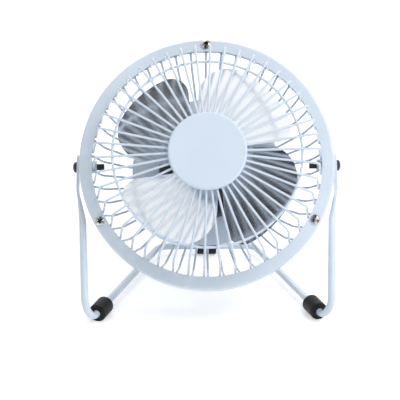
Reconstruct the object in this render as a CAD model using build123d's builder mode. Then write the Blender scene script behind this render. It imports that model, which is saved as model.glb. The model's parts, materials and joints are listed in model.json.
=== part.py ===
from build123d import *
from math import atan2, cos, degrees, hypot, radians, sin, sqrt, tan
import os

# Driving sizes, millimetres and degrees

# Head: radii are from the fan axis, heights along it from the pivot axis, positive to the front
head_tilt = 32.0
ring_radius = 69.4
ring_wall = 0.8
ring_rim_round = 1.6
ring_taper = 0.9
ring_back_height = -5.0
flange_width = 7.0
flange_inner_height = 12.0
flange_drop = 0.5

# Guards
spoke_count = 46
spoke_wire = 1.25
rim_wire = 2.0
mid_wire = 1.4
weld_gap = 0.02
rim_wire_lap = 1.2
corner_inset = 3.5
corner_height = 34.6
corner_bend = 3.0
hub_end_radius = 13.5
dome_rise = 3.4
front_mid_inset = 9.0
front_phase = 1.9
rear_corner_inset = 4.9
rear_corner_height = -4.0
rear_bend_radius = 6.0
rear_spoke_lap = 4.0
rear_spoke_clear = 1.5
rear_plate_radius = 41.6
rear_plate_height = -14.6
rear_plate_wall = 1.0
badge_radius = 20.8
badge_thickness = 1.9
badge_edge_round = 1.2
badge_post_radius = 5.0
hub_plate_radius = 18.0
hub_plate_wall = 1.2

# Guard fasteners round the flange
guard_screw_angles = (90, 209, 331)
guard_screw_setback = 3.6
guard_screw_head = 5.0
guard_screw_head_height = 1.7
guard_screw_shank = 2.0
guard_nut_flats = 4.0
guard_nut_height = 2.0
guard_screw_tail = 1.0
clip_width = 8.0
clip_wall = 1.0
clip_outward = 1.9
clip_inward = 2.2

# Stand
rod_diameter = 4.0
pivot_height = 75.6
eye_gap = 0.4
eye_wall = 1.4
eye_width = 7.6
eye_tip = 7.0
eye_tip_round = 3.6
eye_straight = 14.0
rod_start_along = 30.0
rod_start_inset = 1.6
front_corner_inset = 4.0
front_reach = 51.2
front_bend = 8.0
rear_half_span = 28.6
rear_reach = 52.9
rear_bend = 8.0

# Rubber feet
foot_diameter = 9.8
foot_flat = 0.2
foot_length = 12.4
foot_rear_length = 12.0
foot_round = 1.0
foot_setback = 15.0

# Side pivots: places are distances inward from the ring
pivot_screw_diameter = 3.5
pivot_head_diameter = 6.0
pivot_head_height = 2.4
pivot_nut_flats = 6.0
pivot_nut_inset = 9.1
pivot_screw_inset = 13.1
pivot_spacer_diameter = 7.4

# Motor
housing_radius = 26.5
housing_front = -2.0
housing_wall = 1.6
housing_round = 2.5
post_radius = 3.4
motor_radius = 12.2
motor_length = 26.0
motor_wall = 0.8
motor_boss_radius = 3.1
motor_boss_length = 2.2
motor_screw_offset = 8.0
motor_screw_diameter = 2.0
motor_screw_head = 3.8
motor_screw_head_height = 1.3
motor_screw_length = 3.0
bell_length = 3.0
bell_boss_radius = 4.0
bell_boss_length = 1.6
bush_radius = 2.2
bush_length = 3.6
magnet_wall = 2.2
magnet_angles = (90, 270)
magnet_span = 130.0
magnet_overhang = 1.5
air_gap = 0.4
core_front = -9.0
core_length = 12.0
core_slot = 2.4
core_slot_depth = 5.0
core_poles = 3
winding_height = 3.0
winding_inner_radius = 3.2
winding_inset = 0.8
commutator_radius = 2.6
commutator_length = 4.0
commutator_gap = 0.6
brush_width = 2.0
brush_depth = 1.8
brush_height = 3.4
shaft_diameter = 2.0

# Rear cover, switch and cord inlet
cover_inset = 8.6
cover_taper = 2.5
cover_back = -42.0
cover_wall = 1.8
cover_round = 5.0
cover_skirt = 6.0
cover_shoulder_round = 12.0
cover_screw_offset = 20.0
cover_screw_diameter = 3.0
cover_screw_head = 5.6
cover_screw_head_height = 1.6
cover_screw_grip = 6.0
cover_counterbore = 2.0
switch_inset = 12.0
switch_length = 13.0
switch_width = 8.6
switch_depth = 9.0
bezel_margin = 1.0
bezel_height = 1.5
rocker_margin = 1.0
rocker_side_gap = 0.3
rocker_end_gap = 0.7
rocker_tilt = 9.0
rocker_depth = 3.6
rocker_rise = 1.2
rocker_dip = 0.9
rocker_toe = 1.4
rocker_pin = 0.8
rocker_pin_reach = 0.7
rocker_floor_gap = 1.0
gland_inset = 10.0
gland_bore = 3.4
gland_neck = 6.0
gland_flange = 8.6
gland_lip = 7.6
gland_flange_wall = 1.2

# Blades
blade_count = 4
blade_radius = 50.3
blade_height = 24.6
blade_wall = 0.8
blade_pitch = 20.2
blade_camber = 3.3
blade_line_angle = 155.0
blade_lead_angle = -60.0
blade_trail_angle = 22.0
blade_edge_offset = 6.4
blade_lead_round = 9.0
blade_trail_round = 18.0
blade_root_radius = 9.8
disc_radius = 15.0
disc_rise = 3.1
blade_hub_radius = 4.5
blade_hub_back = 2.0
blade_hub_nose = 3.5
blade_hub_flange = 9.2
blade_hub_flange_wall = 1.6
rivet_count = 4
rivet_circle = 6.9
rivet_diameter = 2.0
rivet_head = 3.8
rivet_head_height = 0.7

# Fits and screw recesses
running_fit = 0.05
hole_fit = 0.1
face_gap = 0.05
press_gap = 0.01
recess_share = 0.55
recess_width = 0.8
recess_depth = 0.8

# Frame of the tilted head, placed so that the whole fan stands centred over the origin

tilt = radians(head_tilt)
ring_back_radius = ring_radius - ring_taper
flange_inner_radius = ring_radius - flange_width
corner_radius = flange_inner_radius - corner_inset
front_mid_radius = corner_radius - front_mid_inset
rear_corner_radius = flange_inner_radius - rear_corner_inset
bend_height = corner_height - corner_bend
bend_radius = corner_radius - corner_bend
guard_front_edge = bend_height * cos(tilt) + bend_radius * sin(tilt) + corner_bend + spoke_wire / 2
pivot_y = (guard_front_edge - rear_reach - foot_diameter / 2) / 2
HEAD = Plane(origin=(0, pivot_y, pivot_height), x_dir=(1, 0, 0), z_dir=(0, -cos(tilt), sin(tilt)))
REAR = Plane(origin=HEAD.origin, x_dir=-HEAD.x_dir, z_dir=-HEAD.z_dir)
FAN_AXIS = Axis(HEAD.origin, HEAD.z_dir)


def outward(angle):
    """Direction that points away from the fan axis at a clock angle."""
    return HEAD.x_dir * cos(radians(angle)) + HEAD.y_dir * sin(radians(angle))


def profile_plane(angle=0):
    """Plane through the fan axis whose points are (radius, height)."""
    return Plane(origin=HEAD.origin, x_dir=outward(angle), z_dir=-outward(angle + 90))


def turned(*outline):
    """Solid turned about the fan axis from a closed outline of (radius, height) points."""
    with BuildPart() as piece:
        with BuildSketch(profile_plane()):
            with BuildLine():
                Polyline(*outline, close=True)
            make_face()
        revolve(axis=FAN_AXIS)
    return piece


def tube(inner, outer, low, high):
    """Plain sleeve about the fan axis."""
    return turned((inner, low), (outer, low), (outer, high), (inner, high))


def wire_ring(radius, height, wire):
    """One closed ring of round wire about the fan axis."""
    with BuildPart() as ring:
        with BuildSketch(profile_plane()):
            with Locations((radius, height)):
                Circle(wire / 2)
        revolve(axis=FAN_AXIS)
    return ring


def wire_spokes(points, bend, phase):
    """Bent round wires, one solid each, spread evenly about the fan axis."""
    with BuildPart() as spoke:
        with BuildLine(Plane.XZ) as path:
            FilletPolyline(*points, radius=bend)
        with BuildSketch(Plane(origin=path.line @ 0, z_dir=path.line % 0)):
            Circle(spoke_wire / 2)
        sweep(path=path.line)
    with BuildPart(HEAD) as group:
        with PolarLocations(0, spoke_count, start_angle=phase):
            add(spoke.part)
    return group


def pan_screws(planes, head, head_height, shank, length):
    """Cross-recessed screws, each head seated on its plane and the shank behind it."""
    dome = ((head / 2) ** 2 + (head_height / 2) ** 2) / head_height
    crown = head_height - dome + sqrt(dome**2 - (head / 4) ** 2)
    with BuildPart() as group:
        for plane in planes:
            with BuildSketch(Plane(origin=plane.origin, x_dir=plane.x_dir, z_dir=-plane.y_dir)):
                with BuildLine():
                    Polyline((0, head_height), (0, -length), (shank / 2, -length), (shank / 2, 0),
                             (head / 2, 0), (head / 2, head_height / 2))
                    ThreePointArc((head / 2, head_height / 2), (head / 4, crown), (0, head_height))
                make_face()
            revolve(axis=Axis(plane.origin, plane.z_dir))
            with BuildSketch(plane.offset(head_height)):
                Rectangle(head * recess_share, recess_width)
                Rectangle(recess_width, head * recess_share)
            extrude(amount=recess_depth, both=True, mode=Mode.SUBTRACT)
    return group


def hex_nuts(planes, flats, height, bore):
    """Hexagon nuts that stand on their planes."""
    with BuildPart() as group:
        for plane in planes:
            with BuildSketch(plane):
                RegularPolygon(radius=flats / 2, side_count=6, major_radius=False)
                Circle(bore / 2, mode=Mode.SUBTRACT)
            extrude(amount=height)
    return group


# Stand: one rod, bent twice at the front and twice at the rear, with flattened ends

front_half_span = ring_radius - front_corner_inset
rod_height = foot_diameter / 2 - foot_flat
leg_length = hypot(front_reach, pivot_height - rod_height)
LEG_DOWN = Vector(0, -front_reach, rod_height - pivot_height) / leg_length
eye_inner = ring_radius + eye_gap
eye_outer = eye_inner + eye_wall
front_corner = Vector(front_half_span, pivot_y - front_reach, rod_height)
rear_corner = Vector(rear_half_span, pivot_y + rear_reach, rod_height)
RUN_BACK = (rear_corner - front_corner).normalized()


def leg_point(half_span, along):
    """Point on the right leg, a distance down it from the pivot axis."""
    return Vector(half_span, pivot_y, pivot_height) + LEG_DOWN * along


def flipped(point, side):
    """The point itself on the right side, 1, or its mirror on the left, -1."""
    return Vector(side * point.X, point.Y, point.Z)


shoulder = leg_point(eye_inner + eye_wall / 2, eye_straight)
rod_start = leg_point(ring_radius - rod_start_inset, rod_start_along)
SHANK_DOWN = (front_corner - rod_start).normalized()
half_route = [rod_start, front_corner, rear_corner]
route = half_route + [flipped(point, -1) for point in reversed(half_route)]
bends = [front_bend, rear_bend, rear_bend, front_bend]

with BuildPart() as stand_frame:
    with BuildLine() as rod_line:
        FilletPolyline(*route, radius=bends)
    with BuildSketch(Plane(origin=rod_start, z_dir=SHANK_DOWN)):
        Circle(rod_diameter / 2)
    sweep(path=rod_line.line)
    for side in (1, -1):
        with BuildSketch(Plane(origin=flipped(shoulder, side), x_dir=(1, 0, 0), z_dir=LEG_DOWN)):
            Rectangle(eye_wall, eye_width)
        with BuildSketch(Plane(origin=flipped(rod_start, side), z_dir=flipped(SHANK_DOWN, side))):
            Circle(rod_diameter / 2)
        loft()
        with BuildSketch(Plane(origin=(side * eye_inner, pivot_y, pivot_height), x_dir=LEG_DOWN,
                               z_dir=(side, 0, 0))):
            with Locations(((eye_straight - eye_tip) / 2, 0)):
                Rectangle(eye_straight + eye_tip, eye_width)
            fillet(vertices().group_by(Axis.X)[0], eye_tip_round)
            Circle(pivot_screw_diameter / 2 + running_fit, mode=Mode.SUBTRACT)
        extrude(amount=eye_wall)


def rubber_foot(middle, along, length):
    """Sleeve on the rod with rounded ends and a flat worn underneath."""
    with BuildPart() as foot:
        with BuildSketch(Plane(origin=middle, x_dir=(0, 0, 1), z_dir=along)):
            Circle(foot_diameter / 2)
        extrude(amount=length / 2, both=True)
        fillet(foot.edges().filter_by(GeomType.CIRCLE), foot_round)
        with BuildSketch(Plane(origin=middle, x_dir=(0, 0, 1), z_dir=along)):
            Circle(rod_diameter / 2 + press_gap)
        extrude(amount=length, both=True, mode=Mode.SUBTRACT)
        with BuildSketch(Plane.XY):
            with Locations((middle.X, middle.Y)):
                Circle(length)
        extrude(amount=-foot_diameter, mode=Mode.SUBTRACT)
    return foot


foot_middle = front_corner + RUN_BACK * (foot_setback + foot_length / 2)
foot_right = rubber_foot(foot_middle, RUN_BACK, foot_length)
foot_left = rubber_foot(flipped(foot_middle, -1), flipped(RUN_BACK, -1), foot_length)
foot_rear = rubber_foot(Vector(0, rear_corner.Y, rod_height), Vector(1, 0, 0), foot_rear_length)

# Outer ring: a pressed flange and band, drilled for the guard screws and the side pivots

flange_angle = degrees(atan2(flange_drop, ring_radius - flange_inner_radius))
flange_slope = tan(radians(flange_angle))


def flange_height(radius):
    """Height of the flange's front face at a radius."""
    return flange_inner_height - (radius - flange_inner_radius) * flange_slope


def flange_seat(angle):
    """Plane on the flange's front face at a clock angle, its normal square to the face."""
    radius = flange_inner_radius + guard_screw_setback
    slant = radians(flange_angle)
    return Plane(
        origin=HEAD.origin + outward(angle) * radius + HEAD.z_dir * flange_height(radius),
        x_dir=outward(angle + 90),
        z_dir=outward(angle) * sin(slant) + HEAD.z_dir * cos(slant),
    )


def pivot_plane(side, distance):
    """Plane square to the pivot axis, facing out from the fan's middle on one side."""
    return Plane(origin=HEAD.origin + HEAD.x_dir * side * distance, x_dir=HEAD.y_dir,
                 z_dir=HEAD.x_dir * side)


seats = [flange_seat(angle) for angle in guard_screw_angles]
rim_corner = (ring_radius, flange_height(ring_radius))
back_corner = (ring_back_radius, ring_back_height)

with BuildPart() as outer_ring:
    with BuildSketch(profile_plane()):
        with BuildLine():
            FilletPolyline((flange_inner_radius, flange_inner_height), rim_corner, back_corner,
                           radius=ring_rim_round)
            offset(amount=ring_wall, side=Side.RIGHT)
        make_face()
    revolve(axis=FAN_AXIS)
    for seat in seats:
        with BuildSketch(seat):
            Circle(guard_screw_shank / 2 + hole_fit)
        extrude(amount=2 * ring_wall, both=True, mode=Mode.SUBTRACT)
    with BuildSketch(pivot_plane(1, 0)):
        Circle(pivot_screw_diameter / 2 + hole_fit)
    extrude(amount=ring_radius, both=True, mode=Mode.SUBTRACT)

# Guards: rim wires lie behind the flange, spokes are welded inside them

rim_wire_radius = flange_inner_radius + rim_wire_lap
flange_stand = (ring_wall + rim_wire / 2 + face_gap) / cos(radians(flange_angle))
front_rim_height = flange_height(rim_wire_radius) - flange_stand
rear_rim_height = front_rim_height - rim_wire - face_gap
spoke_root_radius = rim_wire_radius - rim_wire / 2 - spoke_wire / 2 - weld_gap
hub_end_height = corner_height + dome_rise
rear_spoke_height = rear_plate_height - rear_plate_wall - spoke_wire / 2 - weld_gap
rear_spoke_end = rear_plate_radius - rear_spoke_lap
rear_spoke_foot = rear_plate_radius + rear_spoke_clear
front_spoke_slant = atan2(dome_rise, corner_radius - hub_end_radius)
mid_wire_stand = (spoke_wire + mid_wire) / 2 + weld_gap


def front_spoke_height(radius):
    """Height of a front spoke's centre line at a radius, on its face run."""
    return corner_height + dome_rise * (corner_radius - radius) / (corner_radius - hub_end_radius)


front_spokes = wire_spokes(
    [(hub_end_radius, hub_end_height), (corner_radius, corner_height),
     (spoke_root_radius, front_rim_height - rim_wire / 2)],
    corner_bend, front_phase)
front_rim_wire = wire_ring(rim_wire_radius, front_rim_height, rim_wire)
front_mid_wire = wire_ring(
    front_mid_radius,
    front_spoke_height(front_mid_radius) - mid_wire_stand / cos(front_spoke_slant), mid_wire)
rear_spokes = wire_spokes(
    [(spoke_root_radius, rear_rim_height + rim_wire / 2),
     (rear_corner_radius, rear_corner_height), (rear_spoke_foot, rear_spoke_height),
     (rear_spoke_end, rear_spoke_height)],
    (rear_bend_radius, corner_bend), 180 / spoke_count)
rear_rim_wire = wire_ring(rim_wire_radius, rear_rim_height, rim_wire)

badge_back = hub_end_height + spoke_wire / 2 + weld_gap
badge_front = badge_back + badge_thickness
hub_plate_front = front_spoke_height(hub_plate_radius) - spoke_wire / 2 - weld_gap
front_hub_plate = tube(0, hub_plate_radius, hub_plate_front - hub_plate_wall, hub_plate_front)

with BuildPart() as badge:
    with BuildSketch(profile_plane()):
        with BuildLine():
            FilletPolyline((0, badge_front), (badge_radius, badge_front), (badge_radius, badge_back),
                           (badge_post_radius, badge_back), radius=(badge_edge_round, 0))
            Polyline((badge_post_radius, badge_back), (badge_post_radius, hub_plate_front),
                     (0, hub_plate_front), (0, badge_front))
        make_face()
    revolve(axis=FAN_AXIS)

# Three clips, screws and nuts that clamp both rim wires behind the flange

seat_radius = flange_inner_radius + guard_screw_setback
clip_top = ((rim_wire_radius - seat_radius) * sin(radians(flange_angle))
            + (rear_rim_height - flange_height(seat_radius)) * cos(radians(flange_angle))
            - rim_wire / 2 - face_gap)
nut_bottom = clip_top - clip_wall - face_gap - guard_nut_height

with BuildPart() as guard_clips:
    for seat in seats:
        with BuildSketch(seat.offset(clip_top)):
            with Locations((0, (clip_inward - clip_outward) / 2)):
                Rectangle(clip_width, clip_inward + clip_outward)
            Circle(guard_screw_shank / 2 + hole_fit, mode=Mode.SUBTRACT)
        extrude(amount=-clip_wall)

guard_nuts = hex_nuts([seat.offset(nut_bottom) for seat in seats], guard_nut_flats, guard_nut_height,
                      guard_screw_shank + 2 * press_gap)
guard_screws = pan_screws(seats, guard_screw_head, guard_screw_head_height, guard_screw_shank,
                          guard_screw_tail - nut_bottom)

# Side pivots: a screw through each eye, a spacer outside the ring and a long nut inside it

SIDES = (1, -1)
pivot_nut_end = ring_radius - pivot_nut_inset
pivot_screw_end = ring_radius - pivot_screw_inset
pivot_heads = [pivot_plane(side, eye_outer + face_gap) for side in SIDES]
pivot_screws = pan_screws(pivot_heads, pivot_head_diameter, pivot_head_height, pivot_screw_diameter,
                          eye_outer + face_gap - pivot_screw_end)
band_slope = (rim_corner[0] - ring_back_radius) / (rim_corner[1] - ring_back_height)
band_at_pivot = ring_back_radius - ring_back_height * band_slope
band_inside = band_at_pivot - ring_wall - pivot_nut_flats / 2 * band_slope - hole_fit
pivot_nuts = hex_nuts([pivot_plane(side, pivot_nut_end) for side in SIDES], pivot_nut_flats,
                      band_inside - pivot_nut_end, pivot_screw_diameter + 2 * press_gap)

spacer_reach = pivot_spacer_diameter * band_slope
spacer_seat = band_at_pivot + press_gap

with BuildPart() as pivot_spacers:
    for side in SIDES:
        with BuildSketch(pivot_plane(side, eye_inner - face_gap)):
            Circle(pivot_spacer_diameter / 2)
            Circle(pivot_screw_diameter / 2 + running_fit, mode=Mode.SUBTRACT)
        extrude(amount=ring_back_radius - ring_radius)
    with BuildSketch(profile_plane()):
        with BuildLine():
            Polyline((0, -pivot_spacer_diameter), (0, pivot_spacer_diameter),
                     (spacer_seat + spacer_reach, pivot_spacer_diameter),
                     (spacer_seat - spacer_reach, -pivot_spacer_diameter), close=True)
        make_face()
    revolve(axis=FAN_AXIS, mode=Mode.SUBTRACT)

# Rear plate and the black housing in front of it that holds the motor

cover_screw_spots = [(cover_screw_offset, 0), (-cover_screw_offset, 0)]
motor_screw_spots = [(0, motor_screw_offset), (0, -motor_screw_offset)]
plate_back = rear_plate_height - rear_plate_wall
can_front = housing_front - housing_wall - face_gap
can_back = can_front - motor_length
housing_inner = housing_radius - housing_wall
housing_inside = housing_front - housing_wall

with BuildPart() as rear_plate:
    with BuildSketch(HEAD.offset(plate_back)):
        Circle(rear_plate_radius)
        Circle(motor_radius + hole_fit, mode=Mode.SUBTRACT)
        with Locations(*cover_screw_spots):
            Circle(cover_screw_diameter / 2 + hole_fit, mode=Mode.SUBTRACT)
    extrude(amount=rear_plate_wall)

with BuildPart() as motor_housing:
    with BuildSketch(HEAD.offset(rear_plate_height + face_gap)):
        Circle(housing_radius)
    extrude(amount=housing_front - rear_plate_height - face_gap)
    fillet(motor_housing.edges().filter_by(GeomType.CIRCLE).sort_by(FAN_AXIS)[-1], housing_round)
    with BuildSketch(HEAD.offset(rear_plate_height)):
        Circle(housing_inner)
        with Locations(*cover_screw_spots):
            Circle(post_radius, mode=Mode.SUBTRACT)
    extrude(amount=housing_inside - rear_plate_height, mode=Mode.SUBTRACT)
    with BuildSketch(HEAD.offset(housing_front)):
        Circle(motor_boss_radius + hole_fit)
        with Locations(*motor_screw_spots):
            Circle(motor_screw_diameter / 2 + hole_fit)
    extrude(amount=-2 * housing_wall, mode=Mode.SUBTRACT)
    with BuildSketch(HEAD.offset(rear_plate_height)):
        with Locations(*cover_screw_spots):
            Circle(cover_screw_diameter / 2 + press_gap)
    extrude(amount=cover_screw_grip + hole_fit, mode=Mode.SUBTRACT)

# Motor: can, magnets, end bell, bushes and brushes

boss_front = can_front + motor_boss_length
bush_seat = bush_radius + press_gap

with BuildPart() as motor_can:
    with BuildSketch(HEAD.offset(can_back)):
        Circle(motor_radius)
    extrude(amount=motor_length)
    with BuildSketch(HEAD.offset(can_front)):
        Circle(motor_boss_radius)
    extrude(amount=motor_boss_length)
    with BuildSketch(HEAD.offset(can_back)):
        Circle(motor_radius - motor_wall)
    extrude(amount=motor_length - motor_wall, mode=Mode.SUBTRACT)
    with BuildSketch(HEAD.offset(boss_front)):
        Circle(bush_seat)
    extrude(amount=-motor_boss_length - 2 * motor_wall, mode=Mode.SUBTRACT)
    with BuildSketch(HEAD.offset(can_front)):
        with Locations(*motor_screw_spots):
            Circle(motor_screw_diameter / 2 + press_gap)
    extrude(amount=-2 * motor_wall, mode=Mode.SUBTRACT)

bell_front = can_back - face_gap
bell_back = bell_front - bell_length
bell_boss_back = bell_back - bell_boss_length
motor_end_bell = turned((bush_seat, bell_front), (motor_radius, bell_front), (motor_radius, bell_back),
                        (bell_boss_radius, bell_back), (bell_boss_radius, bell_boss_back),
                        (bush_seat, bell_boss_back))
shaft_radius = shaft_diameter / 2
front_bush = tube(shaft_radius + running_fit, bush_radius, boss_front - bush_length, boss_front)
rear_bush = tube(shaft_radius + running_fit, bush_radius, bell_boss_back, bell_boss_back + bush_length)

core_back = core_front - core_length
magnet_outer = motor_radius - motor_wall - press_gap
magnet_inner = magnet_outer - magnet_wall
core_radius = magnet_inner - air_gap
magnet_back = core_back - magnet_overhang
magnet_front = core_front + magnet_overhang

with BuildPart() as magnets:
    for middle in magnet_angles:
        with BuildSketch(profile_plane(middle - magnet_span / 2)):
            with BuildLine():
                Polyline((magnet_inner, magnet_back), (magnet_outer, magnet_back),
                         (magnet_outer, magnet_front), (magnet_inner, magnet_front), close=True)
            make_face()
        revolve(axis=FAN_AXIS, revolution_arc=magnet_span)

with BuildPart() as brushes:
    with BuildSketch(HEAD.offset(bell_front + press_gap)):
        brush_middle = commutator_radius + running_fit + brush_depth / 2
        with Locations((brush_middle, 0), (-brush_middle, 0)):
            Rectangle(brush_depth, brush_width)
    extrude(amount=brush_height)

motor_screws = pan_screws(
    [Plane(origin=HEAD.from_local_coords((x, y, housing_front)), x_dir=HEAD.x_dir, z_dir=HEAD.z_dir)
     for x, y in motor_screw_spots],
    motor_screw_head, motor_screw_head_height, motor_screw_diameter, motor_screw_length)

# Rotor: shaft, armature, hub and the four pressed blades

disc_back = blade_height + disc_rise - blade_wall / 2
disc_front = disc_back + blade_wall
blade_hub_front = disc_front + blade_hub_nose
shaft_seat = shaft_radius + press_gap
shaft = tube(0, shaft_radius, bell_boss_back, blade_hub_front)
commutator_front = core_back - winding_height - commutator_gap
commutator = tube(shaft_seat, commutator_radius, commutator_front - commutator_length, commutator_front)

with BuildPart() as armature_core:
    with BuildSketch(HEAD.offset(core_back)):
        Circle(core_radius)
        Circle(shaft_seat, mode=Mode.SUBTRACT)
        with PolarLocations(core_radius, core_poles, start_angle=30):
            Rectangle(2 * core_slot_depth, core_slot, mode=Mode.SUBTRACT)
    extrude(amount=core_length)

with BuildPart() as windings:
    for low in (core_front, core_back - winding_height):
        with BuildSketch(HEAD.offset(low)):
            Circle(core_radius - winding_inset)
            Circle(winding_inner_radius, mode=Mode.SUBTRACT)
        extrude(amount=winding_height)

with BuildPart() as blade_hub:
    with BuildSketch(HEAD.offset(blade_hub_back)):
        Circle(blade_hub_radius)
    extrude(amount=blade_hub_front - blade_hub_back)
    with BuildSketch(HEAD.offset(disc_back - blade_hub_flange_wall)):
        Circle(blade_hub_flange)
    extrude(amount=blade_hub_flange_wall)
    with BuildSketch(HEAD.offset(blade_hub_back)):
        Circle(shaft_seat)
    extrude(amount=blade_hub_front - blade_hub_back, mode=Mode.SUBTRACT)
    with BuildSketch(HEAD.offset(disc_back)):
        with PolarLocations(rivet_circle, rivet_count):
            Circle(rivet_diameter / 2 + press_gap)
    extrude(amount=-blade_hub_flange_wall, mode=Mode.SUBTRACT)


def blade_edge(angle, radius):
    """Point of a straight blade edge at a radius; the edge passes beside the axis."""
    along = sqrt(radius ** 2 - blade_edge_offset ** 2)
    return Vector(along, blade_edge_offset).rotate(Axis.Z, angle)


lead_tip = blade_edge(blade_lead_angle, blade_radius)
trail_tip = blade_edge(blade_trail_angle, blade_radius)
sheet_half = blade_wall - lead_tip.Y
sheet_rise = sheet_half * tan(radians(blade_pitch))

with BuildPart() as blade:
    with BuildSketch(Plane(origin=(0, 0, 0), x_dir=(0, 1, 0), z_dir=(1, 0, 0))):
        with BuildLine():
            ThreePointArc((-sheet_half, blade_camber - sheet_rise), (0, 0),
                          (sheet_half, blade_camber + sheet_rise))
            offset(amount=blade_wall / 2, side=Side.BOTH)
        make_face()
    extrude(amount=2 * blade_radius)
    with BuildSketch(Plane.XY.offset(-blade_radius)):
        with BuildLine():
            Line(blade_edge(blade_lead_angle, blade_edge_offset), lead_tip)
            ThreePointArc(lead_tip, (blade_radius, 0), trail_tip)
            Polyline(trail_tip, blade_edge(blade_trail_angle, blade_edge_offset),
                     blade_edge(blade_lead_angle, blade_edge_offset))
        make_face()
        fillet(vertices().sort_by_distance(lead_tip)[0], blade_lead_round)
        fillet(vertices().sort_by_distance(trail_tip)[0], blade_trail_round)
        Circle(blade_root_radius, mode=Mode.SUBTRACT)
    extrude(amount=2 * blade_radius, mode=Mode.INTERSECT)

with BuildPart(HEAD.offset(blade_height)) as blade_set:
    with BuildSketch(HEAD.offset(disc_back)):
        Circle(disc_radius)
        Circle(blade_hub_radius + hole_fit, mode=Mode.SUBTRACT)
        with PolarLocations(rivet_circle, rivet_count):
            Circle(rivet_diameter / 2 + press_gap, mode=Mode.SUBTRACT)
    extrude(amount=blade_wall)
    with PolarLocations(0, blade_count, start_angle=blade_line_angle):
        add(blade.part)

with BuildPart() as blade_rivets:
    for low, radius, height in (
        (disc_back - blade_hub_flange_wall - rivet_head_height, rivet_head / 2, rivet_head_height),
        (disc_back - blade_hub_flange_wall, rivet_diameter / 2, blade_hub_flange_wall + blade_wall),
        (disc_front, rivet_head / 2, rivet_head_height),
    ):
        with BuildSketch(HEAD.offset(low)):
            with PolarLocations(rivet_circle, rivet_count):
                Circle(radius)
        extrude(amount=height)

# Rear cover with its screws, rocker switch and cord inlet

cover_seat = plate_back - face_gap
cover_radius = rear_plate_radius - cover_inset
cover_back_radius = cover_radius - cover_taper
cover_inside = cover_back + cover_wall
cover_screw_seat = cover_back + cover_counterbore


def cover_plane(x, y, height):
    """Plane that faces out of the back of the cover."""
    return Plane(origin=HEAD.from_local_coords((x, y, height)), x_dir=REAR.x_dir, z_dir=REAR.z_dir)


SWITCH = cover_plane(0, cover_back_radius - switch_inset, cover_back)
GLAND = cover_plane(0, gland_inset - cover_back_radius, cover_back)
cover_screw_planes = [cover_plane(x, y, cover_screw_seat) for x, y in cover_screw_spots]

with BuildPart() as rear_cover:
    with BuildSketch(profile_plane()):
        with BuildLine():
            FilletPolyline((cover_radius, cover_seat), (cover_radius, cover_seat - cover_skirt),
                           (cover_back_radius, cover_back), (0, cover_back),
                           radius=(cover_shoulder_round, cover_round))
            offset(amount=cover_wall, side=Side.RIGHT)
        make_face()
    revolve(axis=FAN_AXIS)
    with BuildSketch(HEAD.offset(cover_inside - cover_wall / 2)):
        with Locations(*cover_screw_spots):
            Circle(post_radius)
    extrude(amount=cover_seat - cover_inside + cover_wall / 2)
    for plane in cover_screw_planes:
        with BuildSketch(plane):
            Circle(cover_screw_head / 2 + hole_fit)
        extrude(amount=2 * cover_counterbore, mode=Mode.SUBTRACT)
        with BuildSketch(plane):
            Circle(cover_screw_diameter / 2 + hole_fit)
        extrude(amount=cover_back - cover_seat, mode=Mode.SUBTRACT)
    with BuildSketch(SWITCH):
        Rectangle(switch_length + 2 * hole_fit, switch_width + 2 * hole_fit)
    extrude(amount=2 * cover_wall, both=True, mode=Mode.SUBTRACT)
    with BuildSketch(GLAND):
        Circle(gland_neck / 2 + hole_fit)
    extrude(amount=2 * cover_wall, both=True, mode=Mode.SUBTRACT)

cover_screws = pan_screws(cover_screw_planes, cover_screw_head, cover_screw_head_height,
                          cover_screw_diameter, rear_plate_height + cover_screw_grip - cover_screw_seat)

rocker_half = switch_length / 2 - rocker_margin - rocker_end_gap
rocker_side = switch_width / 2 - rocker_margin - rocker_side_gap
pin_half = rocker_side + rocker_side_gap + rocker_pin_reach
lean = radians(rocker_tilt)
ROCKER = Plane(origin=SWITCH.origin, x_dir=SWITCH.x_dir * cos(lean) + SWITCH.z_dir * sin(lean),
               z_dir=-SWITCH.y_dir)

with BuildPart() as switch_body:
    with BuildSketch(SWITCH.offset(face_gap)):
        Rectangle(switch_length + 2 * bezel_margin, switch_width + 2 * bezel_margin)
    extrude(amount=bezel_height)
    with BuildSketch(SWITCH.offset(face_gap)):
        Rectangle(switch_length, switch_width)
    extrude(amount=-switch_depth)
    with BuildSketch(SWITCH.offset(face_gap + bezel_height)):
        Rectangle(switch_length - 2 * rocker_margin, switch_width - 2 * rocker_margin)
    extrude(amount=-bezel_height - rocker_depth - rocker_floor_gap, mode=Mode.SUBTRACT)
    with BuildSketch(ROCKER):
        Circle(rocker_pin + running_fit)
    extrude(amount=pin_half + hole_fit, both=True, mode=Mode.SUBTRACT)

with BuildPart() as switch_rocker:
    with BuildSketch(ROCKER):
        with BuildLine():
            Polyline((-rocker_half, rocker_rise + rocker_dip), (0, rocker_rise),
                     (rocker_half, rocker_rise + rocker_dip), (rocker_half - rocker_toe, -rocker_depth),
                     (rocker_toe - rocker_half, -rocker_depth), close=True)
        make_face()
    extrude(amount=rocker_side, both=True)
    with BuildSketch(ROCKER):
        Circle(rocker_pin)
    extrude(amount=pin_half, both=True)

with BuildPart() as cord_gland:
    for start, size, height in ((0, gland_flange, gland_flange_wall), (0, gland_neck, -cover_wall),
                                (-cover_wall, gland_lip, -gland_flange_wall)):
        with BuildSketch(GLAND.offset(start)):
            Circle(size / 2)
        extrude(amount=height)
    with BuildSketch(GLAND):
        Circle(gland_bore / 2)
    extrude(amount=2 * cover_wall + gland_flange_wall, both=True, mode=Mode.SUBTRACT)

# One file for each piece

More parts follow.
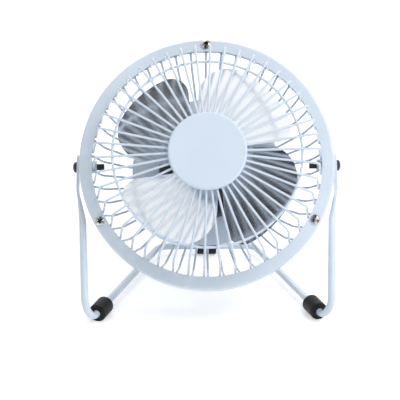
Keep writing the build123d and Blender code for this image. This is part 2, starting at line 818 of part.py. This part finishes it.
pieces = {
    "stand_frame": stand_frame, "foot_left": foot_left, "foot_right": foot_right, "foot_rear": foot_rear,
    "outer_ring": outer_ring, "front_spokes": front_spokes, "front_rim_wire": front_rim_wire,
    "front_mid_wire": front_mid_wire, "front_hub_plate": front_hub_plate, "badge": badge,
    "rear_spokes": rear_spokes, "rear_rim_wire": rear_rim_wire, "rear_plate": rear_plate,
    "guard_clips": guard_clips, "guard_screws": guard_screws,
    "guard_nuts": guard_nuts, "pivot_screws": pivot_screws, "pivot_spacers": pivot_spacers,
    "pivot_nuts": pivot_nuts, "motor_housing": motor_housing, "motor_can": motor_can,
    "motor_end_bell": motor_end_bell, "magnets": magnets, "front_bush": front_bush,
    "rear_bush": rear_bush, "brushes": brushes, "motor_screws": motor_screws,
    "rear_cover": rear_cover, "cover_screws": cover_screws, "switch_body": switch_body,
    "cord_gland": cord_gland, "blade_set": blade_set, "blade_hub": blade_hub,
    "blade_rivets": blade_rivets, "shaft": shaft, "armature_core": armature_core,
    "windings": windings, "commutator": commutator, "switch_rocker": switch_rocker,
}

os.makedirs("parts", exist_ok=True)
for name, piece in pieces.items():
    piece.part.label = name
    export_step(piece.part, f"parts/{name}.step")
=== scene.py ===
import json
from cmath import phase
from math import atan2, cos, hypot, pi, radians, sin

import bmesh
import bpy
from mathutils import Matrix, Vector


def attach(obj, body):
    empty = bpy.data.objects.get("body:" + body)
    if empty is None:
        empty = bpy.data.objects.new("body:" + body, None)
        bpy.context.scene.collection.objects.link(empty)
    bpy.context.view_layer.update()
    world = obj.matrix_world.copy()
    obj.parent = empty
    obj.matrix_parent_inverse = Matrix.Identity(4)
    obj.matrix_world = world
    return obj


bl_info = {
    "name": "Desk Fan Dressing",
    "version": (1, 0, 0),
    "blender": (4, 5, 0),
    "location": "3D View > Sidebar > Desk Fan",
    "description": "Finishes, weld beads and studio stage for a small wire-guard desk fan",
    "category": "Object",
}

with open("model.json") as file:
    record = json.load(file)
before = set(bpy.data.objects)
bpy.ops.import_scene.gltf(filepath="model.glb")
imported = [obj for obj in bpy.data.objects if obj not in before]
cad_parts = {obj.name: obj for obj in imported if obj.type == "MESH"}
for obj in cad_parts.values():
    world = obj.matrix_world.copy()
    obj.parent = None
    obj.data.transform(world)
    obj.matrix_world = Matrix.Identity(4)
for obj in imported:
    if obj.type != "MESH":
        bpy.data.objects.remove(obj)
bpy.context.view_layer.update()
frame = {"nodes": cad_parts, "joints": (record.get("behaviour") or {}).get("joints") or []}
NODES = frame["nodes"]
JOINTS = {joint["name"]: joint for joint in frame["joints"]}
PIVOT = Vector(JOINTS["head_tilt"]["pos_m"])
HUB = Vector(JOINTS["rotor_spin"]["pos_m"])
FAN_AXIS = Vector(JOINTS["rotor_spin"]["axis"]).normalized()
SIDEWAYS = Vector((1, 0, 0))
HEAD_UP = FAN_AXIS.cross(SIDEWAYS)
HEAD = Matrix.Translation(HUB) @ Matrix((SIDEWAYS, HEAD_UP, FAN_AXIS)).transposed().to_4x4()
HEAD_TILT = atan2(FAN_AXIS.z, -FAN_AXIS.y)

# Dark cards that the bright blades mirror: way from the pivot, size as a share of the distance, and tones
CARDS = (
    {"name": "card_high", "distance": 0.6, "aside": 0.17, "above": 0.82, "width": 0.86, "height": 1.2,
     "lower": (0.006, 0.007, 0.007), "upper": (0.012, 0.013, 0.013)},
    {"name": "card_low", "distance": 0.4, "aside": -0.18, "above": -0.15, "width": 0.72, "height": 1.0,
     "lower": (0.03, 0.025, 0.02), "upper": (0.02, 0.017, 0.014)},
)


def tone(red, green, blue):
    """Linear colour of a display colour given in steps of 255."""
    def linear(value):
        share = value / 255
        return share / 12.92 if share <= 0.04045 else ((share + 0.055) / 1.055) ** 2.4
    return linear(red), linear(green), linear(blue)


def colour_property(name, description, default):
    """Colour swatch for a finish."""
    return bpy.props.FloatVectorProperty(
        name=name, description=description, subtype="COLOR", size=3, min=0, max=1, default=default)


def length_property(name, description, default):
    """Length in metres."""
    return bpy.props.FloatProperty(
        name=name, description=description, unit="LENGTH", subtype="DISTANCE", precision=5,
        default=default)


def share_property(name, description, default):
    """Share from nothing to all."""
    return bpy.props.FloatProperty(
        name=name, description=description, subtype="FACTOR", min=0, max=1, default=default)


def angle_property(name, description, degrees):
    """Angle, given in degrees."""
    return bpy.props.FloatProperty(
        name=name, description=description, subtype="ANGLE", default=radians(degrees))


def power_property(name, description, default):
    """Power of a light in watts."""
    return bpy.props.FloatProperty(name=name, description=description, unit="POWER", default=default)


def place_property(name, description, default):
    """Place in metres."""
    return bpy.props.FloatVectorProperty(
        name=name, description=description, subtype="XYZ", unit="LENGTH", size=3, default=default)


class FanFinish(bpy.types.PropertyGroup):
    """Colours and gloss of the fan's finishes"""

    paint: colour_property("Paint", "Coat on the ring, stand and plates", tone(222, 232, 243))
    paint_thin: colour_property("Thin paint", "Where the coat is thinner", tone(216, 227, 239))
    wire: colour_property("Wire paint", "Coat on the guard wires", tone(216, 228, 242))
    badge: colour_property("Badge", "Coat on the middle disc", tone(222, 234, 247))
    paint_gloss: share_property("Paint roughness", "Roughness of the coat", 0.34)
    badge_gloss: share_property("Badge roughness", "Roughness of the middle disc's coat", 0.4)
    wire_gloss: share_property("Wire roughness", "Roughness of the wire coat", 0.26)
    rubber: colour_property("Rubber", "Feet and cord inlet", tone(20, 20, 22))
    rubber_worn: colour_property("Worn rubber", "Dusty patches on the rubber", tone(32, 32, 35))
    moulding: colour_property("Black moulding", "Motor housing and switch", tone(30, 30, 32))
    cover: colour_property("Cover", "Moulded rear cover", tone(222, 232, 243))
    sheet: colour_property("Blade sheet", "Bright rolled blade metal", tone(248, 251, 255))
    sheet_gloss: share_property("Blade roughness", "Roughness of the blade metal", 0.195)
    nickel: colour_property("Nickel", "Plated screws", tone(222, 220, 216))
    zinc: colour_property("Zinc", "Plated nuts, clips and motor steel", tone(170, 172, 174))
    oxide: colour_property("Black oxide", "Pivot and cover screws", tone(40, 40, 42))
    bronze: colour_property("Bronze", "Bushes, brushes and hub", tone(176, 140, 86))
    copper: colour_property("Copper", "Windings and commutator", tone(184, 108, 62))


class FanWelds(bpy.types.PropertyGroup):
    """Weld beads where the guard wires cross"""

    width: length_property("Bead width", "Width of a bead across the spoke", 0.0018)
    length: length_property("Bead length", "Length of a bead along the spoke", 0.0021)
    depth: length_property("Bead depth", "Depth of a bead from one wire into the other", 0.0015)
    spokes: bpy.props.IntProperty(name="Spokes", description="Wires in each guard", default=46, min=3)


class FanStage(bpy.types.PropertyGroup):
    """Camera, floor and light"""

    distance: length_property("Camera distance", "From the camera to the pivot axis", 0.7214)
    lens: bpy.props.FloatProperty(
        name="Lens", description="Focal length", subtype="DISTANCE_CAMERA", default=118.1)
    elevation: angle_property("Elevation", "Height of the view above level", 20.21)
    azimuth: angle_property("Azimuth", "Turn of the view from the fan's front", 0.62)
    roll: angle_property("Roll", "Turn of the picture", 0.23)
    shift_x: bpy.props.FloatProperty(name="Shift X", description="Sideways framing", default=-0.0172)
    shift_y: bpy.props.FloatProperty(name="Shift Y", description="Upward framing", default=-0.0842)
    floor: colour_property("Floor", "Pale floor", (0.92, 0.92, 0.92))
    floor_size: length_property("Floor size", "Length of the floor's sides", 8.0)
    floor_glow: share_property("Floor glow", "Level added where the floor is seen or mirrored", 0.44)
    sky: colour_property("Sky", "Light from all round", (0.92, 0.96, 1.0))
    sky_low: share_property("Low sky", "Level of the sky behind the fan, at the left", 0.22)
    sky_high: share_property("High sky", "Level of the sky before the fan, at the upper right", 0.74)
    sky_side: bpy.props.FloatVectorProperty(
        name="Sky side", description="Where the sky is strongest", subtype="DIRECTION", size=3,
        default=Vector((0.5, -0.75, 0.4)).normalized())
    light_size: length_property("Light size", "Width of each soft light", 1.1)
    key_power: power_property("Key power", "Soft light from the upper right", 12.0)
    key_place: place_property("Key place", "Middle of the light at the upper right", (0.86, -0.48, 1.3))
    back_power: power_property("Back power", "Soft light from above, behind the fan", 6.0)
    back_place: place_property("Back place", "Middle of the light behind the fan", (-0.15, 0.95, 1.2))


def new_group(name, inputs, outputs):
    """Empty shader node group; inputs are (name, kind, default) and outputs are (name, kind)."""
    group = bpy.data.node_groups.new(name, "ShaderNodeTree")
    for label, kind, default in inputs:
        socket = group.interface.new_socket(name=label, in_out="INPUT", socket_type=kind)
        if default is not None:
            socket.default_value = default
    for label, kind in outputs:
        group.interface.new_socket(name=label, in_out="OUTPUT", socket_type=kind)
    return group, group.nodes.new("NodeGroupInput"), group.nodes.new("NodeGroupOutput")


def skin_group():
    """Shared surface effect: fine grain, broad unevenness of colour and a spread of roughness."""
    name = "Surface skin"
    if name in bpy.data.node_groups:
        return bpy.data.node_groups[name]
    vector, colour, number = "NodeSocketVector", "NodeSocketColor", "NodeSocketFloat"
    group, start, end = new_group(
        name,
        [("Vector", vector, None), ("Colour", colour, (0.8, 0.8, 0.8, 1)),
         ("Second Colour", colour, (0.7, 0.7, 0.7, 1)), ("Grain Scale", number, 1500.0),
         ("Patch Scale", number, 40.0), ("Roughness", number, 0.4), ("Roughness Spread", number, 0.1)],
        [("Colour", colour), ("Roughness", number), ("Height", number)])
    nodes, link = group.nodes, group.links.new
    grain = nodes.new("ShaderNodeTexNoise")
    grain.inputs["Detail"].default_value = 2.0
    patch = nodes.new("ShaderNodeTexNoise")
    patch.inputs["Detail"].default_value = 3.0
    spread = nodes.new("ShaderNodeMapRange")
    spread.inputs["From Min"].default_value = 0.36
    spread.inputs["From Max"].default_value = 0.64
    blend = nodes.new("ShaderNodeMix")
    blend.data_type = "RGBA"
    centred = nodes.new("ShaderNodeMath")
    centred.operation = "SUBTRACT"
    centred.inputs[1].default_value = 0.5
    rough = nodes.new("ShaderNodeMath")
    rough.operation = "MULTIPLY_ADD"
    for texture, scale in ((grain, "Grain Scale"), (patch, "Patch Scale")):
        link(start.outputs["Vector"], texture.inputs["Vector"])
        link(start.outputs[scale], texture.inputs["Scale"])
    link(patch.outputs["Fac"], spread.inputs["Value"])
    link(spread.outputs["Result"], blend.inputs["Factor"])
    link(start.outputs["Colour"], blend.inputs["A"])
    link(start.outputs["Second Colour"], blend.inputs["B"])
    link(spread.outputs["Result"], centred.inputs[0])
    link(centred.outputs["Value"], rough.inputs[0])
    link(start.outputs["Roughness Spread"], rough.inputs[1])
    link(start.outputs["Roughness"], rough.inputs[2])
    link(blend.outputs["Result"], end.inputs["Colour"])
    link(rough.outputs["Value"], end.inputs["Roughness"])
    link(grain.outputs["Fac"], end.inputs["Height"])
    return group


def skin_material(name, colour, second, roughness, spread=0.08, grain=1500.0, patch=40.0, bump=0.15,
                  depth=0.0001, metallic=0.0, coat=0.0, specular=0.5, stretch=(1, 1, 1), turn=0.0):
    """Material whose colour, roughness and relief come from the shared surface effect."""
    material = bpy.data.materials.new(name)
    material.use_nodes = True
    tree = material.node_tree
    shader = tree.nodes["Principled BSDF"]
    place = tree.nodes.new("ShaderNodeTexCoord")
    mapping = tree.nodes.new("ShaderNodeMapping")
    mapping.inputs["Scale"].default_value = stretch
    mapping.inputs["Rotation"].default_value = (turn, 0, 0)
    skin = tree.nodes.new("ShaderNodeGroup")
    skin.node_tree = skin_group()
    relief = tree.nodes.new("ShaderNodeBump")
    relief.inputs["Strength"].default_value = bump
    relief.inputs["Distance"].default_value = depth
    skin.inputs["Colour"].default_value = (*colour, 1)
    skin.inputs["Second Colour"].default_value = (*second, 1)
    skin.inputs["Grain Scale"].default_value = grain
    skin.inputs["Patch Scale"].default_value = patch
    skin.inputs["Roughness"].default_value = roughness
    skin.inputs["Roughness Spread"].default_value = spread
    shader.inputs["Metallic"].default_value = metallic
    shader.inputs["Coat Weight"].default_value = coat
    shader.inputs["Coat Roughness"].default_value = 0.2
    shader.inputs["Specular IOR Level"].default_value = specular
    link = tree.links.new
    link(place.outputs["Object"], mapping.inputs["Vector"])
    link(mapping.outputs["Vector"], skin.inputs["Vector"])
    link(skin.outputs["Colour"], shader.inputs["Base Color"])
    link(skin.outputs["Roughness"], shader.inputs["Roughness"])
    link(skin.outputs["Height"], relief.inputs["Height"])
    link(relief.outputs["Normal"], shader.inputs["Normal"])
    return material


def scaled(colour, level):
    """The same colour at another level."""
    return tuple(value * level for value in colour)


def seen_rays(tree):
    """Socket that is 1 for rays that see or mirror a surface, and 0 for rays that it lights."""
    path = tree.nodes.new("ShaderNodeLightPath")
    seen = path.outputs["Is Camera Ray"]
    for ray in ("Is Glossy Ray", "Is Transmission Ray"):
        either = tree.nodes.new("ShaderNodeMath")
        either.operation = "MAXIMUM"
        tree.links.new(seen, either.inputs[0])
        tree.links.new(path.outputs[ray], either.inputs[1])
        seen = either.outputs["Value"]
    return seen


def dress(material, *names):
    """Puts the material on CAD nodes, by name."""
    for name in names:
        for slot in NODES[name].material_slots:
            slot.material = material


def deselect():
    """Leaves object mode with nothing selected."""
    if bpy.context.object and bpy.context.object.mode != "OBJECT":
        bpy.ops.object.mode_set(mode="OBJECT")
    bpy.ops.object.select_all(action="DESELECT")


class FAN_OT_paint(bpy.types.Operator):
    """Coat the ring, stand, plates, badge and guard wires"""

    bl_idname = "fan.paint"
    bl_label = "Paint the Metalwork"

    def execute(self, context):
        look = context.scene.fan_finish
        coat = skin_material("metalwork_paint", look.paint, look.paint_thin, roughness=look.paint_gloss,
                             grain=1800, bump=0.12, coat=0.7)
        dress(coat, "stand_frame", "outer_ring", "rear_plate", "front_hub_plate", "pivot_nuts")
        wire = skin_material("wire_paint", look.wire, look.paint, roughness=look.wire_gloss, grain=1400,
                             bump=0.1, coat=0.3)
        dress(wire, "front_spokes", "front_rim_wire", "front_mid_wire", "rear_spokes", "rear_rim_wire")
        badge = skin_material("badge_paint", look.badge, scaled(look.badge, 0.97),
                              roughness=look.badge_gloss, grain=2200, bump=0.08)
        dress(badge, "badge")
        return {"FINISHED"}


class FAN_OT_blades(bpy.types.Operator):
    """Give the blades and rivets their bright rolled metal"""

    bl_idname = "fan.blades"
    bl_label = "Finish the Blades"

    def execute(self, context):
        look = context.scene.fan_finish
        sheet = skin_material("blade_sheet", look.sheet, scaled(look.sheet, 0.97),
                              roughness=look.sheet_gloss, spread=0.03, grain=900, patch=60, bump=0.015,
                              depth=0.00005, metallic=1.0, stretch=(0.15, 1, 1), turn=-HEAD_TILT)
        dress(sheet, "blade_set", "blade_rivets")
        return {"FINISHED"}


class FAN_OT_feet(bpy.types.Operator):
    """Give the feet and the cord inlet their black rubber"""

    bl_idname = "fan.feet"
    bl_label = "Finish the Rubber"

    def execute(self, context):
        look = context.scene.fan_finish
        rubber = skin_material("foot_rubber", look.rubber, look.rubber_worn, roughness=0.5, spread=0.2,
                               grain=2600, patch=160, bump=0.25, specular=0.22)
        dress(rubber, "foot_left", "foot_right", "foot_rear", "cord_gland")
        return {"FINISHED"}


class FAN_OT_fasteners(bpy.types.Operator):
    """Plate the screws, nuts and clips"""

    bl_idname = "fan.fasteners"
    bl_label = "Finish the Fasteners"

    def execute(self, context):
        look = context.scene.fan_finish
        nickel = skin_material("nickel_plate", look.nickel, scaled(look.nickel, 0.8), roughness=0.28,
                               spread=0.12, grain=3000, patch=700, bump=0.1, metallic=1.0)
        dress(nickel, "motor_screws", "shaft")
        # The guard screws' plating is mottled with near-black patches in its colour: painted reflection of
        # dark surroundings in the chrome.
        chrome_with_painted_reflection = skin_material("screw_chrome_painted_reflection", look.nickel, scaled(look.nickel, 0.2), roughness=0.12,
                               spread=0.1, grain=3000, patch=520, bump=0.1, metallic=1.0)
        dress(chrome_with_painted_reflection, "guard_screws")
        zinc = skin_material("zinc_plate", look.zinc, scaled(look.zinc, 0.8), roughness=0.36, spread=0.12,
                             grain=2500, patch=500, bump=0.12, metallic=1.0)
        dress(zinc, "guard_clips", "guard_nuts")
        oxide = skin_material("black_oxide", look.oxide, scaled(look.oxide, 1.6), roughness=0.4,
                              spread=0.12, grain=2500, patch=600, bump=0.15)
        dress(oxide, "pivot_screws", "cover_screws")
        return {"FINISHED"}


class FAN_OT_motor(bpy.types.Operator):
    """Finish the motor, its housing, the rear cover and the hub"""

    bl_idname = "fan.motor"
    bl_label = "Finish the Motor"

    def execute(self, context):
        look = context.scene.fan_finish
        moulding = skin_material("black_moulding", look.moulding, scaled(look.moulding, 1.4),
                                 roughness=0.45, spread=0.1, grain=2200, patch=90, bump=0.3)
        dress(moulding, "motor_housing", "motor_end_bell", "pivot_spacers")
        cover = skin_material("cover_moulding", look.cover, scaled(look.cover, 0.97), roughness=0.36,
                              grain=2600, patch=30, bump=0.1)
        dress(cover, "rear_cover")
        steel = skin_material("motor_steel", look.zinc, scaled(look.zinc, 0.85), roughness=0.34, grain=1200,
                              patch=80, bump=0.08, metallic=1.0, stretch=(1, 0.2, 1))
        dress(steel, "motor_can", "armature_core")
        bronze = skin_material("bearing_bronze", look.bronze, scaled(look.bronze, 0.8), roughness=0.34,
                               grain=2500, patch=300, bump=0.1, metallic=1.0)
        dress(bronze, "front_bush", "rear_bush", "brushes", "blade_hub")
        copper = skin_material("enamelled_copper", look.copper, scaled(look.copper, 0.7), roughness=0.3,
                               grain=3000, patch=900, bump=0.4, metallic=1.0, coat=0.4)
        dress(copper, "windings", "commutator")
        ferrite = skin_material("ferrite", scaled(look.moulding, 3), scaled(look.moulding, 2.2),
                                roughness=0.6, grain=3000, patch=400, bump=0.25)
        dress(ferrite, "magnets")
        return {"FINISHED"}


class FAN_OT_switch(bpy.types.Operator):
    """Finish the rocker switch"""

    bl_idname = "fan.switch"
    bl_label = "Finish the Switch"

    def execute(self, context):
        look = context.scene.fan_finish
        body = skin_material("switch_moulding", look.moulding, scaled(look.moulding, 1.3), roughness=0.38,
                             grain=2600, patch=200, bump=0.2)
        dress(body, "switch_body")
        key = skin_material("rocker_moulding", scaled(look.moulding, 1.3), scaled(look.moulding, 1.8),
                            roughness=0.26, grain=2600, patch=200, bump=0.08)
        dress(key, "switch_rocker")
        return {"FINISHED"}


class FAN_OT_welds(bpy.types.Operator):
    """Set weld beads where the spokes meet the rim wires and the middle wire"""

    bl_idname = "fan.welds"
    bl_label = "Set the Weld Beads"

    def execute(self, context):
        welds = context.scene.fan_welds
        for name, wire, spokes, at_rim in (
            ("front_rim_welds", "front_rim_wire", "front_spokes", True),
            ("front_mid_welds", "front_mid_wire", "front_spokes", False),
            ("rear_rim_welds", "rear_rim_wire", "rear_spokes", True),
        ):
            radius, height, reach = self.ring(wire)
            if at_rim:
                seat = Matrix.Translation((radius - reach, 0, height)) @ self.axes((0, 1, 0), (0, 0, 1))
            else:
                seat = Matrix.Translation((radius, 0, height + reach)) @ self.axes((0, 1, 0), (1, 0, 0))
            first = self.first_angle(spokes, welds.spokes)
            step = 2 * pi / welds.spokes
            turns = (Matrix.Rotation(first + step * index, 4, "Z") for index in range(welds.spokes))
            places = [HEAD @ turn @ seat for turn in turns]
            row = self.row(name, self.bead(welds), places)
            row.data.materials.append(NODES[wire].material_slots[0].material)
            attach(row, "head")
        return {"FINISHED"}

    def head_points(self, name):
        """A node's vertices, seen from the hub with the fan axis as Z."""
        to_head = HEAD.inverted()
        return [to_head @ vertex.co for vertex in NODES[name].data.vertices]

    def ring(self, name):
        """Radius of a wire ring, its height on the fan axis and half the thickness of its wire."""
        points = self.head_points(name)
        spans = [hypot(point.x, point.y) for point in points]
        heights = [point.z for point in points]
        reach = (max(heights) - min(heights)) / 2
        return (min(spans) + max(spans)) / 2, (min(heights) + max(heights)) / 2, reach

    def first_angle(self, name, count):
        """Angle of the first of the evenly spread spokes."""
        turns = (complex(point.x, point.y) / hypot(point.x, point.y) for point in self.head_points(name))
        return phase(sum(turn**count for turn in turns)) / count

    def axes(self, across, along):
        """Turn that lays a bead's width across the spoke and its length along it."""
        across, along = Vector(across), Vector(along)
        return Matrix((across, along, across.cross(along))).transposed().to_4x4()

    def bead(self, welds):
        """One squeezed bead, full at the waist and flat where it runs into the wires."""
        deselect()
        bpy.ops.mesh.primitive_uv_sphere_add(segments=8, ring_count=5, radius=0.5)
        bead = bpy.context.object
        bpy.ops.object.shade_smooth()
        bpy.ops.object.mode_set(mode="EDIT")
        half_waist = 0.25
        waist_growth = (1.12, 1.12, 0.9)
        end_growth = (1.25, 1.25, 0.85)
        for at_waist, growth in ((True, waist_growth), (False, end_growth)):
            bpy.ops.mesh.select_all(action="DESELECT")
            mesh = bmesh.from_edit_mesh(bead.data)
            for vertex in mesh.verts:
                vertex.select = (abs(vertex.co.z) < half_waist) == at_waist
            mesh.select_flush_mode()
            bmesh.update_edit_mesh(bead.data)
            bpy.ops.transform.resize(value=growth)
        bpy.ops.mesh.select_all(action="SELECT")
        bpy.ops.transform.resize(value=(welds.width, welds.length, welds.depth))
        bpy.ops.object.mode_set(mode="OBJECT")
        return bead

    def row(self, name, bead, places):
        """Copies of the bead at these places, as one piece."""
        copies = []
        for place in places:
            deselect()
            bead.select_set(True)
            bpy.context.view_layer.objects.active = bead
            bpy.ops.object.duplicate()
            copies.append(bpy.context.object)
            copies[-1].matrix_world = place
        deselect()
        bead.select_set(True)
        bpy.ops.object.delete()
        for copy in copies:
            copy.select_set(True)
        row = copies[0]
        bpy.context.view_layer.objects.active = row
        bpy.ops.object.join()
        bpy.ops.object.transform_apply(location=True, rotation=True, scale=True)
        row.name = name
        return row


class FAN_OT_stage(bpy.types.Operator):
    """Set up the floor, light, reflection cards and camera"""

    bl_idname = "fan.stage"
    bl_label = "Set the Stage"

    def execute(self, context):
        stage = context.scene.fan_stage
        self.floor(stage)
        self.sky(context.scene, stage)
        self.soft_light("key_light", stage.key_power, stage.light_size, Vector(stage.key_place))
        self.soft_light("back_light", stage.back_power, stage.light_size, Vector(stage.back_place))
        for card in CARDS:
            self.card(stage, **card)
        self.camera(context.scene, stage)
        context.scene.view_settings.view_transform = "Standard"
        return {"FINISHED"}

    def view_basis(self, stage):
        """Forward, right and up directions of the picture, before its roll."""
        level = cos(stage.elevation)
        ahead, aside = cos(stage.azimuth) * level, sin(stage.azimuth) * level
        forward = Vector((aside, ahead, -sin(stage.elevation)))
        right = forward.cross(Vector((0, 0, 1))).normalized()
        return forward, right, right.cross(forward)

    def camera(self, scene, stage):
        """Camera at the fitted viewpoint."""
        forward, right, up = self.view_basis(stage)
        basis = Matrix((right, up, -forward)).transposed()
        basis = basis @ Matrix.Rotation(-stage.roll, 3, "Z")
        data = bpy.data.cameras.new("fan_camera")
        data.lens = stage.lens
        data.sensor_width = 36.0
        data.shift_x = stage.shift_x
        data.shift_y = stage.shift_y
        camera = bpy.data.objects.new("fan_camera", data)
        camera.matrix_world = Matrix.Translation(PIVOT - forward * stage.distance) @ basis.to_4x4()
        scene.collection.objects.link(camera)
        scene.camera = camera

    def floor(self, stage):
        """Wide pale floor that keeps the fan's shadow."""
        deselect()
        bpy.ops.mesh.primitive_plane_add(size=stage.floor_size, location=(0, 0, 0))
        floor = bpy.context.object
        floor.name = "floor"
        material = bpy.data.materials.new("floor_paper")
        material.use_nodes = True
        tree = material.node_tree
        shader = tree.nodes["Principled BSDF"]
        place = tree.nodes.new("ShaderNodeTexCoord")
        grain = tree.nodes.new("ShaderNodeTexNoise")
        grain.inputs["Scale"].default_value = 3.0
        blend = tree.nodes.new("ShaderNodeMix")
        blend.data_type = "RGBA"
        blend.inputs["A"].default_value = (*stage.floor, 1)
        blend.inputs["B"].default_value = (*scaled(stage.floor, 0.99), 1)
        level = tree.nodes.new("ShaderNodeMath")
        level.operation = "MULTIPLY"
        level.inputs[1].default_value = stage.floor_glow
        shader.inputs["Roughness"].default_value = 0.9
        shader.inputs["Specular IOR Level"].default_value = 0.0
        shader.inputs["Emission Color"].default_value = (1, 1, 1, 1)
        link = tree.links.new
        link(place.outputs["Object"], grain.inputs["Vector"])
        link(grain.outputs["Fac"], blend.inputs["Factor"])
        link(blend.outputs["Result"], shader.inputs["Base Color"])
        link(seen_rays(tree), level.inputs[0])
        link(level.outputs["Value"], shader.inputs["Emission Strength"])
        floor.data.materials.append(material)

    def sky(self, scene, stage):
        """Light from all round, strongest on one side, and white where it is seen or mirrored."""
        world = scene.world or bpy.data.worlds.new("fan_sky")
        scene.world = world
        world.use_nodes = True
        tree = world.node_tree
        tree.nodes.clear()
        out = tree.nodes.new("ShaderNodeOutputWorld")
        lit = tree.nodes.new("ShaderNodeBackground")
        lit.inputs["Color"].default_value = (*stage.sky, 1)
        white = tree.nodes.new("ShaderNodeBackground")
        white.inputs["Color"].default_value = (1, 1, 1, 1)
        white.inputs["Strength"].default_value = 1.0
        place = tree.nodes.new("ShaderNodeTexCoord")
        side = tree.nodes.new("ShaderNodeVectorMath")
        side.operation = "DOT_PRODUCT"
        side.inputs[1].default_value = stage.sky_side
        level = tree.nodes.new("ShaderNodeMapRange")
        level.inputs["From Min"].default_value = -1.0
        level.inputs["To Min"].default_value = stage.sky_low
        level.inputs["To Max"].default_value = stage.sky_high
        mix = tree.nodes.new("ShaderNodeMixShader")
        link = tree.links.new
        link(place.outputs["Generated"], side.inputs[0])
        link(side.outputs["Value"], level.inputs["Value"])
        link(level.outputs["Result"], lit.inputs["Strength"])
        link(seen_rays(tree), mix.inputs["Fac"])
        link(lit.outputs["Background"], mix.inputs[1])
        link(white.outputs["Background"], mix.inputs[2])
        link(mix.outputs["Shader"], out.inputs["Surface"])

    def soft_light(self, name, power, size, place):
        """Large soft light that points at the fan."""
        data = bpy.data.lights.new(name, "AREA")
        data.shape = "DISK"
        data.size = size
        data.energy = power
        light = bpy.data.objects.new(name, data)
        aim = (PIVOT - place).to_track_quat("-Z", "Y").to_matrix().to_4x4()
        light.matrix_world = Matrix.Translation(place) @ aim
        bpy.context.scene.collection.objects.link(light)

    def card_material(self, name, lower, upper):
        """Dull card that runs from one level at its lower edge to another at its upper edge."""
        material = bpy.data.materials.new(name)
        material.use_nodes = True
        tree = material.node_tree
        shader = tree.nodes["Principled BSDF"]
        shader.inputs["Roughness"].default_value = 0.9
        shader.inputs["Specular IOR Level"].default_value = 0.0
        place = tree.nodes.new("ShaderNodeTexCoord")
        split = tree.nodes.new("ShaderNodeSeparateXYZ")
        rise = tree.nodes.new("ShaderNodeMapRange")
        rise.inputs["From Min"].default_value = -0.5
        rise.inputs["From Max"].default_value = 0.5
        blend = tree.nodes.new("ShaderNodeMix")
        blend.data_type = "RGBA"
        blend.inputs["A"].default_value = (*lower, 1)
        blend.inputs["B"].default_value = (*upper, 1)
        link = tree.links.new
        link(place.outputs["Object"], split.inputs["Vector"])
        link(split.outputs["Y"], rise.inputs["Value"])
        link(rise.outputs["Result"], blend.inputs["Factor"])
        link(blend.outputs["Result"], shader.inputs["Base Color"])
        return material

    def card(self, stage, name, distance, aside, above, width, height, lower, upper):
        """Dark card that only the bright metal mirrors."""
        forward, right, up = self.view_basis(stage)
        ahead = (1 - aside**2 - above**2) ** 0.5
        way = right * aside + up * above - forward * ahead
        deselect()
        bpy.ops.mesh.primitive_plane_add(size=1.0)
        card = bpy.context.object
        card.name = name
        turn = (-way).to_track_quat("Z", "Y").to_matrix().to_4x4()
        size = Matrix.Diagonal((width * distance, height * distance, 1, 1))
        card.matrix_world = Matrix.Translation(PIVOT + way * distance) @ turn @ size
        card.data.materials.append(self.card_material(name, lower, upper))
        card.visible_camera = False
        card.visible_diffuse = False
        card.visible_shadow = False
        card.visible_transmission = False


class FAN_PT_panel(bpy.types.Panel):
    """Sidebar panel with the fan's operators and settings"""

    bl_idname = "FAN_PT_panel"
    bl_label = "Desk Fan"
    bl_space_type = "VIEW_3D"
    bl_region_type = "UI"
    bl_category = "Desk Fan"

    def draw(self, context):
        layout = self.layout
        for operator in OPERATORS:
            layout.operator(operator.bl_idname)
        for group in ("fan_finish", "fan_welds", "fan_stage"):
            box = layout.box()
            settings = getattr(context.scene, group)
            for key in settings.__annotations__:
                box.prop(settings, key)


OPERATORS = (FAN_OT_paint, FAN_OT_welds, FAN_OT_blades, FAN_OT_feet, FAN_OT_fasteners, FAN_OT_motor,
             FAN_OT_switch, FAN_OT_stage)
GROUPS = {"fan_finish": FanFinish, "fan_welds": FanWelds, "fan_stage": FanStage}


def register():
    """Adds the classes and the scene's settings."""
    for name, group in GROUPS.items():
        bpy.utils.register_class(group)
        setattr(bpy.types.Scene, name, bpy.props.PointerProperty(type=group))
    for operator in OPERATORS:
        bpy.utils.register_class(operator)
    bpy.utils.register_class(FAN_PT_panel)


def unregister():
    """Takes the classes and settings away again."""
    bpy.utils.unregister_class(FAN_PT_panel)
    for operator in reversed(OPERATORS):
        bpy.utils.unregister_class(operator)
    for name, group in GROUPS.items():
        delattr(bpy.types.Scene, name)
        bpy.utils.unregister_class(group)


def main():
    """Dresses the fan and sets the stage."""
    register()
    bpy.ops.fan.paint()
    bpy.ops.fan.welds()
    bpy.ops.fan.blades()
    bpy.ops.fan.feet()
    bpy.ops.fan.fasteners()
    bpy.ops.fan.motor()
    bpy.ops.fan.switch()
    bpy.ops.fan.stage()


if __name__ == "__main__":
    main()
